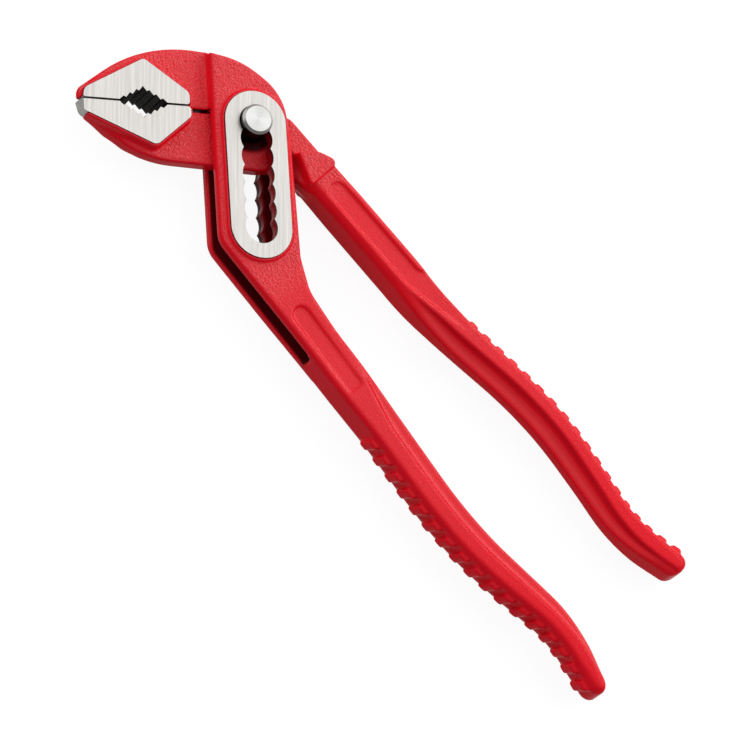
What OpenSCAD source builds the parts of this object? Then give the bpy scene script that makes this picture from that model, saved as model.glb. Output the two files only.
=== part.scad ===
// Water pump pliers with a pushed-through box joint: jaws shut, pin in the first seat, lying face up.
// The head is drawn about the pin with the slot running down -Y and the jaws pointing to -X,
// then turned so that the handles run along +X.

/* [Stance] */
// Turn of the head against the length of the tool, in degrees
head_turn = 49; // [40:0.5:58]
// Distance along the length from the middle of the tool to the pin
pin_back = 81.65; // [70:0.05:95]
// Distance across the width from the middle of the tool to the pin
pin_side = 12.7; // [5:0.1:20]

/* [Box joint] */
// Clear gap between the two cheeks
box_gap = 5.8; // [4:0.1:8]
// Thickness of one cheek
cheek_t = 3.6; // [2.6:0.1:5]
// From the pin to the left edge of the cheeks
box_left = 13.5; // [12.5:0.1:16]
// From the pin to the right edge of the cheeks
box_right = 12.7; // [12:0.1:14]
// Play of the tongue on each side between the cheeks
tongue_play = 0.2; // [0.1:0.05:0.5]
// Where the gap between the cheeks ends, measured along the tool from the pin
gap_end = 68.3; // [62:0.1:80]
// Widest turn of the inner arm, in degrees
open_max = 30; // [15:1:32]

/* [Slot] */
// Number of seats for the pin
seats = 7; // [4:1:7]
// Distance between two seats
seat_pitch = 5.9; // [5:0.1:6.5]
// Diameter of one seat
seat_d = 10.8; // [10.5:0.1:12]
// Width of the slot plates
plate_w = 20.5; // [18:0.1:22]
// Thickness of the slot plates
plate_t = 1.5; // [1:0.1:2.5]
// Height of the painted boss that holds a plate
boss_rise = 0.9; // [0.4:0.1:1.4]
// Width of the boss around its plate
boss_rim = 0.8; // [0.5:0.1:1.5]

/* [Pin] */
// Diameter of the pin
pin_d = 10.2; // [9.4:0.1:10.4]
// Width across the two flats that pass through the slot
pin_flats = 8.6; // [7.5:0.1:8.8]
// Height of the pin's front end over the plate
pin_rise = 2.7; // [1:0.1:4]
// Depth of the pin's back end below the back plate
pin_sink = 0.4; // [0.2:0.1:1]
// Chamfer on both ends of the pin
pin_chamfer = 0.8; // [0.3:0.1:1.5]
// Running play between the pin and the tongue, on the radius
pin_play = 0.05; // [0.02:0.01:0.1]
// Wire diameter of the ring that holds the pin in the tongue
ring_wire = 1.2; // [0.8:0.1:1.6]

/* [Jaws] */
// From the pin to the nose of the jaws
jaw_reach = 58.6; // [54:0.1:62]
// Height of the parting line over the pin
part_y = 4.15; // [3.5:0.05:5]
// Gap between the shut jaws
part_gap = 0.7; // [0.4:0.05:1.2]
// Thickness of the upper jaw's web
web_t = 6; // [5:0.1:8]
// Thickness of the painted pads
pad_t = 12.8; // [10:0.1:14]
// Width of the painted rim around an insert
pad_rim = 0.8; // [0.5:0.1:1.5]
// Height of the bare inserts over their pads
insert_rise = 0.3; // [0.1:0.05:0.6]
// Play between an insert or a plate and its pocket
seat_play = 0.02; // [0:0.01:0.05]
// From the pin to the middle of the pipe opening
notch_x = 37; // [34:0.1:40]
// Width of the pipe opening at the parting line
notch_w = 16; // [12:0.1:18]
// Depth of the opening in each jaw
notch_h = 5; // [3.5:0.1:6]
// Teeth on each side of the opening
notch_teeth = 4; // [3:1:6]
// Drop from the tip of one tooth to the root behind it
tooth_drop = 0.4; // [0.2:0.05:0.8]

/* [Handles] */
// Thickness of the handles
handle_t = 12; // [10:0.1:12.6]
// Width of the grips, as a share of the drawn width
grip_share = 1; // [0.85:0.01:1.1]
// Thickness of the inner flange of the grips
flange_t = 5.2; // [3:0.1:8]
// Rounding on the edges of the handles
edge_r = 1.3; // [0.6:0.1:1.8]
// Length of the rounded ends
end_l = 4; // [3:0.1:7]

/* [Ribs] */
// Height of the ribs on the outer side of the grips
rib_h = 1.8; // [0.6:0.1:2]
// Length of one rib along the grip
rib_len = 3.3; // [2.5:0.1:4]
// Width of one rib across the grip's thickness
rib_w = 6.8; // [5:0.1:9]
// Lean of the ribs from square across the grip
rib_lean = 18; // [0:1:25]
// Number of ribs on the handle of the slotted arm
lower_ribs = 17; // [8:1:17]
// Spacing of the ribs on the handle of the slotted arm
lower_pitch = 6.35; // [5:0.05:6.4]
// Number of ribs on the handle of the inner arm
upper_ribs = 18; // [8:1:18]
// Spacing of the ribs on the handle of the inner arm
upper_pitch = 5.7; // [5:0.05:5.75]

/* [Panels] */
// Depth of the sunk panels on the necks
panel_h = 0.9; // [0.2:0.1:1.2]
// Width of the sunk panel on the slotted arm
panel_w = 6; // [4:0.1:7]
// Length of the sunk panel on the slotted arm
panel_l = 33; // [24:0.5:36]

/* [Hidden] */
$fn = 64;
box_t = box_gap + 2 * cheek_t;
tongue_t = box_gap - 2 * tongue_play;
insert_t = pad_t + 2 * insert_rise;
plate_low = box_t / 2;
plate_top = plate_low + plate_t;
slot_run = (seats - 1) * seat_pitch;
upper_y = part_y + part_gap / 2;
lower_y = part_y - part_gap / 2;
eye_r = 9.5;
eye_clear = 2.3;
far = 400;
// Corners [x, y, radius] of the bare inserts, in the head frame.
upper_insert_pts = [
    [-21.4, upper_y, 1],
    [-21.4, 8.5, 2.5],
    [-36.2, 18.9, 1.8],
    [1.9 - jaw_reach, 7.5, 3],
    [1.5 - jaw_reach, upper_y, 0.6]
];
lower_insert_pts = [
    [0.1 - jaw_reach, lower_y, 0.4],
    [1.2 - jaw_reach, 0.2, 2],
    [-33.2, -9.9, 2.4],
    [-21.1, 0.5, 2],
    [-21.1, lower_y, 1]
];
// Middle lines of the grips: a start [x, y, heading] and stretches [length, turn].
lower_start = [60, -32.5, -4.5];
lower_path = [[62, 0], [35, 12], [19.5, 0], [19, -21.5], [13, 0]];
upper_start = [25, 5.9, 0];
upper_path = [[45, 0], [12, 8.5], [28, 0], [36, -15], [19, 0], [19.5, 22], [12.8, 0]];
// Stations [distance, outer half width, inner half width, strip width, cove]; a full cove is 1.
lower_stations = [
    [0, 5.4, 7, 7.4, 0],
    [20, 5.1, 7.4, 7.2, 0],
    [40, 4.3, 8.5, 6.6, 1],
    [66, 4.5, 7.7, 6.1, 1],
    [88, 4.8, 6.9, 5.8, 1],
    [104, 4.6, 6.6, 5.7, 1],
    [118, 3.7, 6.4, 4.9, 1],
    [129, 3.5, 5.3, 4.7, 0.95],
    [139, 3.3, 3.7, 4.7, 0.3],
    [148, 3.2, 3, 4.7, 0]
];
upper_stations = [
    [0, 7.4, 4.4, 6, 0],
    [45, 7.4, 4.6, 6, 0],
    [57, 6.1, 5.9, 6.2, 0.55],
    [67, 4.7, 6.7, 6.5, 0.9],
    [90, 4.1, 6.5, 5.7, 1],
    [113, 4.8, 6, 5.8, 1],
    [133, 4.4, 5.7, 5.7, 1],
    [146, 3.8, 5.9, 5.6, 0.9],
    [158, 3.2, 5.6, 5.6, 0.55],
    [166, 3.1, 5.3, 5.7, 0.3],
    [172, 3.2, 5, 5.8, 0.2]
];
lower_rib_from = 41.2;
upper_rib_from = 69.2;
path_step = 3.2;
arc_step = 5;

// Head-frame point seen in the frame of the tool.
function turned(p) = [
    p.x * cos(head_turn) - p.y * sin(head_turn),
    p.x * sin(head_turn) + p.y * cos(head_turn),
    p.z
];

function unit(v) = v / norm(v);
function flat(p) = [p.x, p.y];

// Corner i of a list of corners moved outward by d, its radius grown with it.
function grown(p, d) = [
    for (i = [0 : len(p) - 1])
        let (
            a = unit(flat(p[i]) - flat(p[(i + len(p) - 1) % len(p)])),
            b = unit(flat(p[(i + 1) % len(p)]) - flat(p[i])),
            na = [a.y, -a.x],
            nb = [b.y, -b.x],
            out = (na + nb) / (1 + na * nb)
        )
        [p[i].x + d * out.x, p[i].y + d * out.y, p[i].z + d]
];

function spun(p, a) = [p.x * cos(a) - p.y * sin(a), p.x * sin(a) + p.y * cos(a)];

// Points of the arc on corner b between corners a and c, or the bare corner where its radius is 0.
function arc_points(a, b, c) =
    b.z == 0 ? [flat(b)]
    : let (
        u = unit(flat(a) - flat(b)),
        v = unit(flat(c) - flat(b)),
        half = acos(u * v) / 2,
        middle = flat(b) + unit(u + v) * b.z / sin(half),
        from = flat(b) + u * b.z / tan(half) - middle,
        turn = sign(u.y * v.x - u.x * v.y) * (180 - 2 * half),
        steps = ceil(abs(turn) / arc_step)
    )
    [for (i = [0 : steps]) middle + spun(from, turn * i / steps)];

// Radius of an arc on corner b that takes up a share of the shorter of its two sides.
function filling_r(a, b, c, share) =
    let (half = acos(unit(a - b) * unit(c - b)) / 2)
    share * min(norm(a - b), norm(c - b)) * tan(half);

// Pose [x, y, heading] after one stretch [length, turn].
function stepped(p, s) =
    s[1] == 0
        ? [p.x + s[0] * cos(p.z), p.y + s[0] * sin(p.z), p.z]
        : let (r = s[0] * 180 / (PI * s[1]))
          [p.x + r * (sin(p.z + s[1]) - sin(p.z)), p.y - r * (cos(p.z + s[1]) - cos(p.z)), p.z + s[1]];

// Pose at distance d along a path.
function walked(p, path, d, i = 0) =
    i == len(path) ? p
    : d <= path[i][0] ? stepped(p, [d, path[i][1] * d / path[i][0]])
    : walked(stepped(p, path[i]), path, d - path[i][0], i + 1);

function path_len(path, n, i = 0) = i == n ? 0 : path[i][0] + path_len(path, n, i + 1);

// Outline through corners [x, y, radius] listed anticlockwise.
module rounded(p) {
    n = len(p);
    polygon([for (i = [0 : n - 1]) each arc_points(p[(i + n - 1) % n], p[i], p[(i + 1) % n])]);
}

module slab(t) {
    translate([0, 0, -t / 2])
        linear_extrude(t)
            children();
}

module head() {
    rotate([0, 0, head_turn])
        children();
}

// Places the tool on the ground under the middle of its length and width.
module placed() {
    translate([-pin_back, pin_side, plate_top])
        children();
}

module stadium(w, run) {
    translate([-w / 2, -run])
        square([w, run]);
    circle(d = w);
    translate([0, -run])
        circle(d = w);
}

module slot_shape() {
    for (i = [0 : seats - 1])
        translate([0, -i * seat_pitch])
            circle(d = seat_d);
}

// Half of the toothed pipe opening, rising to +Y from the parting line.
module notch_shape() {
    lead = 0.6;
    root_at = 0.42;
    pitch = notch_w / 2 / (notch_teeth - 1 + lead);
    rise = notch_h / notch_teeth;
    slope = [
        for (i = [notch_teeth - 1 : -1 : 1])
            each [
                [-i * pitch, notch_h - i * rise],
                [-(i - root_at) * pitch, notch_h - i * rise - tooth_drop]
            ]
    ];
    left = concat([[-notch_w / 2, -part_gap], [-notch_w / 2, 0]], slope);
    right = [for (i = [len(left) - 1 : -1 : 0]) [-left[i].x, left[i].y]];
    polygon(concat(left, [[0, notch_h]], right));
}

// Relief that thins both noses at the back and leans their front wall back over the tip.
module nose_relief() {
    bevel_from = 40.4;
    bevel = 27;
    tip_z = 2.8;
    lean = 21;
    translate([-bevel_from, 0, -insert_t / 2])
        rotate([0, bevel, 0])
            translate([-far, -far / 2, -far])
                cube([far, far, far]);
    translate([-jaw_reach, 0, tip_z])
        rotate([0, lean, 0])
            translate([-far, -far / 2, -far])
                cube([far, far, 2 * far]);
}

// Value in column k of a list of stations at distance d.
function at(stations, d, k) = lookup(d, [for (s = stations) [s[0], s[k]]]);

// How far the plan has closed in at distance d from the start of a handle of length l.
function closing(d, l) = d < l - end_l ? 1 : sqrt(max(0, 1 - pow((d - l + end_l) / end_l, 2)));

// One face of a handle's section as points [across, height], from the outer edge to the inner edge.
function face_points(outer, inner, strip, cove) =
    let (
        t = handle_t / 2,
        most_r = 0.28,
        first_crease = 1.4,
        r = min(edge_r, most_r * (outer + inner)),
        low = t - cove * (handle_t - flange_t) / 2,
        crease = (1 - cove) * (first_crease * r - inner) + cove * (outer - strip),
        run = crease + inner - r
    )
    concat(
        [for (a = [0 : 45 : 90]) [outer - r * (1 - cos(a)), t - r * (1 - sin(a))]],
        [for (a = [0 : 22.5 : 90]) [crease - run * (1 - cos(a)), t - (t - low) * sin(a)]],
        [for (a = [45 : 45 : 90]) [r * (1 - sin(a)) - inner, low - r * (1 - cos(a))]]
    );

// Points of a whole section in space: pose p, ribs on the left when side is 1.
function section(p, outer, inner, strip, cove, side) =
    let (
        face = face_points(outer, inner, strip, cove),
        n = len(face),
        loop = concat(face, [for (i = [n - 1 : -1 : 0]) [face[i].x, -face[i].y]])
    )
    [for (q = loop) [p.x - side * q.x * sin(p.z), p.y + side * q.x * cos(p.z), q.y]];

// Handle swept along a path through its stations.
module grip(start, path, stations, side) {
    l = path_len(path, len(path));
    steps = ceil((l - end_l) / path_step);
    along = concat(
        [for (i = [0 : steps]) (l - end_l) * i / steps],
        [for (a = [22 : 18 : 76]) l - end_l * (1 - sin(a))]
    );
    rings = [
        for (d = along)
            section(
                walked(start, path, d),
                at(stations, d, 1) * grip_share * closing(d, l),
                at(stations, d, 2) * grip_share * closing(d, l),
                at(stations, d, 3),
                at(stations, d, 4),
                side
            )
    ];
    m = len(rings[0]);
    last = (len(rings) - 1) * m;
    walls = [
        for (i = [0 : len(rings) - 2], j = [0 : m - 1])
            let (a = i * m + j, b = i * m + (j + 1) % m)
            each [[a, b, b + m], [a, b + m, a + m]]
    ];
    caps = [for (j = [1 : m - 2]) each [[0, j + 1, j], [last, last + j, last + j + 1]]];
    faces = concat(walls, caps);
    polyhedron(
        points = [for (r = rings) each r],
        faces = side < 0 ? faces : [for (f = faces) [f[0], f[2], f[1]]]
    );
}

// Ribs on the outer side of a handle.
module ribs(start, path, stations, side, from, count, pitch) {
    root = 2;
    for (i = [0 : count - 1]) {
        d = from + i * pitch;
        p = walked(start, path, d);
        outer = at(stations, d, 1) * grip_share;
        translate([p.x, p.y, 0])
            rotate([0, 0, p.z + (side > 0 ? 0 : 180)])
                translate([0, outer - root, 0])
                    rotate([0, side * rib_lean, 0])
                        translate([-rib_len / 2, 0, -rib_w / 2])
                            cube([rib_len, root + rib_h, rib_w]);
    }
}

// Plan of the two cheeks and the neck of the slotted arm.
module box_outline() {
    box_flare = 0.9;
    rounded([
        turned([-box_left, 23.3, 0]),
        turned([-box_left, -39.9, 9]),
        [98, -39.6, 0],
        [98, -30.2, 0],
        [52, -23.9, 14],
        turned([box_right + box_flare, -44, 12]),
        turned([box_right, -4.3, 0]),
        turned([10.4, 10.6, 18]),
        turned([-2.3, 21.2, 28])
    ]);
}

// Plan of the space between the cheeks, open to the left and to the right.
module gap_outline() {
    head() {
        circle(eye_r + eye_clear);
        polygon([
            [-far, upper_y],
            [0, upper_y],
            [0, 0],
            [far * cos(open_max + 32), far * sin(open_max + 32)],
            [far, -far],
            [-far, -far]
        ]);
    }
}

module box_space() {
    intersection() {
        slab(box_gap)
            gap_outline();
        union() {
            translate([-far, -far, -box_gap])
                cube([far + gap_end - box_gap / 2, 2 * far, 2 * box_gap]);
            translate([gap_end - box_gap / 2, 0, 0])
                rotate([90, 0, 0])
                    cylinder(h = 2 * far, d = box_gap, center = true);
        }
    }
}

module upper_jaw_web() {
    back = [1 - box_left, 24.1];
    crown = [3.5 - notch_x, 26.4];
    nose = [-jaw_reach, 7.9];
    crown_share = 0.95;
    rounded([
        [back.x, upper_y, 0],
        [back.x, back.y, 0],
        [crown.x, crown.y, filling_r(back, crown, nose, crown_share)],
        [nose.x, nose.y, 4],
        [nose.x, upper_y, 0.8]
    ]);
}

// Thins the neck from the cheeks to the grip on one face.
module neck_taper() {
    taper_from = 48;
    taper_l = 30;
    taper = atan((box_t - handle_t) / 2 / taper_l);
    translate([taper_from, -far / 2, box_t / 2])
        rotate([0, taper, 0])
            cube([far, far, far]);
}

module slotted_body() {
    difference() {
        slab(box_t)
            box_outline();
        neck_taper();
        mirror([0, 0, 1])
            neck_taper();
    }
    head() {
        slab(web_t)
            upper_jaw_web();
        slab(pad_t)
            intersection() {
                rounded(grown(upper_insert_pts, pad_rim));
                upper_jaw_web();
            }
        slab(2 * (plate_low + boss_rise))
            stadium(plate_w + 2 * boss_rim, slot_run);
    }
    grip(lower_start, lower_path, lower_stations, -1);
    ribs(lower_start, lower_path, lower_stations, -1, lower_rib_from, lower_ribs, lower_pitch);
}

module slotted_arm() {
    color("#c4202b")
        placed()
            difference() {
                slotted_body();
                box_space();
                head() {
                    slab(2 * far)
                        slot_shape();
                    slab(2 * insert_t)
                        rounded(grown(upper_insert_pts, seat_play));
                    nose_relief();
                    for (side = [0, 1])
                        mirror([0, 0, side])
                            translate([0, 0, plate_low])
                                linear_extrude(far)
                                    stadium(plate_w + 2 * seat_play, slot_run);
                }
                for (side = [0, 1])
                    mirror([0, 0, side])
                        lower_panel();
            }
}

module lower_panel() {
    panel_from = 56;
    panel_y = -32;
    neck_rise = 0.35;
    panel_floor = handle_t / 2 + neck_rise - panel_h;
    translate([panel_from, panel_y, panel_floor])
        rotate([0, 0, lower_start.z + 90])
            linear_extrude(far)
                stadium(panel_w, panel_l - panel_w);
}

module upper_jaw_insert() {
    color("#c9cac8")
        placed()
            head()
                difference() {
                    slab(insert_t)
                        difference() {
                            rounded(upper_insert_pts);
                            translate([-notch_x, upper_y])
                                notch_shape();
                        }
                    nose_relief();
                }
}

module lower_jaw_insert() {
    color("#c9cac8")
        placed()
            head()
                difference() {
                    slab(insert_t)
                        difference() {
                            rounded(lower_insert_pts);
                            translate([-notch_x, lower_y])
                                mirror([0, 1])
                                    notch_shape();
                        }
                    nose_relief();
                }
}

module slot_plate() {
    translate([0, 0, plate_low])
        linear_extrude(plate_t)
            difference() {
                stadium(plate_w, slot_run);
                slot_shape();
            }
}

module front_slot_plate() {
    color("#d4d5d3")
        placed()
            head()
                slot_plate();
}

module back_slot_plate() {
    color("#d4d5d3")
        placed()
            head()
                mirror([0, 0, 1])
                    slot_plate();
}

// Plan of the lower jaw's web and the tongue, in the head frame.
module tongue_outline() {
    circle(eye_r);
    rounded([
        [1.6 - jaw_reach, lower_y, 0.5],
        [1.6 - jaw_reach, 1.4, 2],
        [-36.4, -13.2, 34],
        [2, -14.5, 0],
        [10, -13.8, 8],
        [19, -20.6, 0],
        [27, -13, 0],
        [23.6, -6.5, 0],
        [14.6, 3.8, 3],
        [5, 8, 0],
        [-7, lower_y, 0]
    ]);
}

module lower_pad() {
    bare_nose = 2.6;
    intersection() {
        rounded(grown(lower_insert_pts, pad_rim));
        translate([bare_nose - jaw_reach, -far])
            square([far, far + lower_y]);
    }
}

// Raised shoulder in front of the handle.
module shoulder() {
    rounded([
        [16, 5.7, 0],
        [25.8, 1.6, 0],
        [26.9, 1.6, 0],
        [26.9, 13.5, 1.6],
        [24.6, 13.7, 2.5],
        [20.4, 11.6, 3]
    ]);
}

module upper_panel() {
    translate([0, 0, handle_t / 2 - panel_h])
        linear_extrude(far)
            rounded([[31, 4.4, 2.6], [70, 4.6, 12], [92, 10, 0.6], [31, 10.4, 2.9]]);
}

module inner_body() {
    head() {
        slab(tongue_t)
            tongue_outline();
        slab(pad_t)
            lower_pad();
    }
    slab(box_t)
        shoulder();
    grip(upper_start, upper_path, upper_stations, 1);
    ribs(upper_start, upper_path, upper_stations, 1, upper_rib_from, upper_ribs, upper_pitch);
}

module inner_arm() {
    color("#c4202b")
        placed()
            difference() {
                inner_body();
                cylinder(h = 2 * tongue_t, r = pin_d / 2 + pin_play, center = true);
                rotate_extrude()
                    translate([pin_d / 2, 0])
                        circle(ring_wire / 2 + 2 * pin_play);
                head() {
                    slab(2 * insert_t)
                        rounded(grown(lower_insert_pts, seat_play));
                    nose_relief();
                }
                for (side = [0, 1])
                    mirror([0, 0, side])
                        upper_panel();
            }
}

module pin_end(z, up) {
    translate([0, 0, z])
        mirror([0, 0, up ? 0 : 1])
            rotate_extrude()
                polygon([[0, 0], [pin_d / 2, 0], [pin_d / 2 - pin_chamfer, pin_chamfer], [0, pin_chamfer]]);
}

module pivot_pin() {
    top = plate_top + pin_rise - pin_chamfer;
    low = pin_sink + pin_chamfer - plate_top;
    color("#b9bab8")
        placed()
            difference() {
                union() {
                    translate([0, 0, low])
                        cylinder(h = top - low, d = pin_d);
                    pin_end(top, true);
                    pin_end(low, false);
                }
                head()
                    for (side = [0, 1])
                        mirror([side, 0, 0])
                            translate([pin_flats / 2, -pin_d, 0]) {
                                translate([0, 0, tongue_t / 2])
                                    cube([pin_d, 2 * pin_d, plate_top - tongue_t / 2]);
                                translate([0, 0, -far - tongue_t / 2])
                                    cube([pin_d, 2 * pin_d, far]);
                            }
                rotate_extrude()
                    translate([pin_d / 2, 0])
                        circle(ring_wire / 2 + seat_play);
            }
}

module pin_ring() {
    color("#8d8f8e")
        placed()
            rotate_extrude()
                translate([pin_d / 2, 0])
                    circle(d = ring_wire);
}

slotted_arm();
upper_jaw_insert();
front_slot_plate();
back_slot_plate();
inner_arm();
lower_jaw_insert();
pivot_pin();
pin_ring();
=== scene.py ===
import logging
import math
from dataclasses import dataclass
from enum import Enum
from functools import partial
from typing import Callable, Mapping, Optional, Sequence, Union

import bpy
import numpy as np
from mathutils import Matrix, Vector


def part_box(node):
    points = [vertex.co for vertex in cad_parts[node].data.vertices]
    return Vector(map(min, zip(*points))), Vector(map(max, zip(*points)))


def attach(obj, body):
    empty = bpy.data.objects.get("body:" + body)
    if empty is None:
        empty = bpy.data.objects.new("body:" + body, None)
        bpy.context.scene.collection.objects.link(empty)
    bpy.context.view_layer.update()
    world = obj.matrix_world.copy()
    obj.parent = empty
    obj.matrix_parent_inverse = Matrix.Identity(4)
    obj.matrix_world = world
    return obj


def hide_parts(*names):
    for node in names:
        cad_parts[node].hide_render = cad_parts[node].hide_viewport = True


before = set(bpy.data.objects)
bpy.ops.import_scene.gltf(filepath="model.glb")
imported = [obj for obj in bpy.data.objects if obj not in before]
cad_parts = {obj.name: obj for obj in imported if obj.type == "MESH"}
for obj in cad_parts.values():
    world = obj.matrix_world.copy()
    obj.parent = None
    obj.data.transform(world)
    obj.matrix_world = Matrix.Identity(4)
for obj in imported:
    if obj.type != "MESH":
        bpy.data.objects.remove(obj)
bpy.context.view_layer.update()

LOG = logging.getLogger("pliers")
MM = 0.001
FAR = 1e9
TINY = 1e-9
ARC_STEP = 4.0  # degrees between two points of an arc
CELL = [(i, j, k) for i in (0, 1) for j in (0, 1) for k in (0, 1)]  # corners of a grid cell

Array = np.ndarray
Point = tuple[float, float, float]
Span = tuple[float, float]
Corner = tuple[float, float, float]  # x, y and the radius there
Marks = tuple[Array, Array]  # cove and crease of a handle, in plan
Amount = Union[float, Array]
Socket = bpy.types.NodeSocket
Setting = Union[float, int, str, bool, tuple, Socket]
Inputs = Mapping[Union[str, int], Setting]
Adder = Callable[..., bpy.types.NodeOutputs]


class Body(Enum):
    """Bodies of the frame that new pieces ride on."""

    SLOTTED = "slotted"
    INNER = "inner"


class Slot(Enum):
    """Material slots of the record."""

    PAINT = "red_paint"
    BARE = "bare_steel"
    PIN = "pin_steel"
    SPRING = "spring_steel"


class Share(Enum):
    """What the skin of an arm tells its paint, as attributes of the vertices."""

    GRAIN = "grain"
    COAT = "coat"
    # painted shade: darkens the paint where shade falls
    PAINTED_SHADE = "oil"


def spun(corners: Sequence[Corner], angle: float, at: Span = (0.0, 0.0)) -> list[Corner]:
    """Corners turned about the origin by an angle, then moved to a place."""
    c, s = math.cos(angle), math.sin(angle)
    return [(at[0] + x * c - y * s, at[1] + x * s + y * c, r) for x, y, r in corners]


@dataclass(frozen=True)
class Stance:
    """How the tool lies: shapes are drawn in mm about the middle of the pin, handles along +X."""

    head_turn: float = math.radians(49)
    pin: Point = (-81.65, 12.7, 8.0)

    def turned(self, corners: Sequence[Corner]) -> list[Corner]:
        """Corners that were drawn with the slot running down -Y, in the frame of the tool."""
        return spun(corners, self.head_turn)

    def upright(self, x: Array, y: Array) -> tuple[Array, Array]:
        """Places in the frame of the tool, seen with the slot running down -Y."""
        c, s = math.cos(self.head_turn), math.sin(self.head_turn)
        return x * c + y * s, y * c - x * s

    def placed(self, points: Array) -> Array:
        """Points in mm about the pin, in metres in the frame of the part."""
        return (points + np.array(self.pin)) * MM


STANCE = Stance()


def unit(v: Array) -> Array:
    """The vector v with length 1."""
    return v / np.linalg.norm(v)


def rounded(corners: Sequence[Corner]) -> Array:
    """Closed outline through corners that have radii of their own.

    Args:
        corners: Corners (x, y, radius), listed anticlockwise.

    Returns:
        Points of the outline, one per row.
    """
    points: list[Array] = []
    for i, (x, y, r) in enumerate(corners):
        here = np.array((x, y))
        u = unit(np.array(corners[i - 1][:2]) - here)
        v = unit(np.array(corners[(i + 1) % len(corners)][:2]) - here)
        if r == 0:
            points.append(here)
            continue
        half = math.acos(np.clip(u @ v, -1, 1)) / 2
        middle = here + unit(u + v) * r / math.sin(half)
        first = here + u * r / math.tan(half) - middle
        turn = math.copysign(math.pi - 2 * half, u[1] * v[0] - u[0] * v[1])
        steps = max(1, math.ceil(abs(math.degrees(turn)) / ARC_STEP))
        for k in range(steps + 1):
            c, s = math.cos(turn * k / steps), math.sin(turn * k / steps)
            points.append(middle + (first[0] * c - first[1] * s, first[0] * s + first[1] * c))
    return np.array(points)


def grown(corners: Sequence[Corner], d: float) -> list[Corner]:
    """Corners moved outward by d, with their radii grown by as much.

    Args:
        corners: Corners (x, y, radius), listed anticlockwise.
        d: Distance outward in mm.

    Returns:
        The corners of the larger outline.
    """
    out: list[Corner] = []
    for i, (x, y, r) in enumerate(corners):
        a = unit(np.array((x, y)) - np.array(corners[i - 1][:2]))
        b = unit(np.array(corners[(i + 1) % len(corners)][:2]) - np.array((x, y)))
        na, nb = np.array((a[1], -a[0])), np.array((b[1], -b[0]))
        shift = (na + nb) / (1 + na @ nb) * d
        out.append((x + shift[0], y + shift[1], r + d))
    return out


def section(side: Array, face: Array, r: Amount) -> Array:
    """Field of a body from its distances to the side walls and to the faces.

    Args:
        side: Distance to the side walls, negative inside.
        face: Distance to the faces, negative inside.
        r: Radius of the edge between them.

    Returns:
        Field that is negative inside the body.
    """
    a, b = side + r, face + r
    return np.minimum(np.maximum(a, b), 0) + np.hypot(np.maximum(a, 0), np.maximum(b, 0)) - r


def slab(d: Array, z: Array, half: Amount, r: Amount) -> Array:
    """Field of a plate with plan distance d, half thickness half and edges of radius r."""
    return section(d, np.abs(z) - half, r)


def joined(a: Array, b: Array, k: float) -> Array:
    """Union of two fields with a fillet about k mm wide."""
    h = np.clip(0.5 + 0.5 * (b - a) / k, 0, 1)
    return b + (a - b) * h - k * h * (1 - h)


def cut(a: Array, b: Array, k: float) -> Array:
    """Field a with b taken out of it, its rim broken by about k mm."""
    return -joined(-a, b, k)


def eased(x: Array, low: float, high: float) -> Array:
    """Smooth step from 0 at low to 1 at high."""
    t = np.clip((x - low) / (high - low), 0, 1)
    return t * t * (3 - 2 * t)


def smoothed(values: Array, half: int) -> Array:
    """Running mean of a row of values, each taken with half of a window on either side."""
    window = np.ones(2 * half + 1) / (2 * half + 1)
    return np.convolve(np.pad(values, half, mode="edge"), window, mode="valid")


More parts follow.
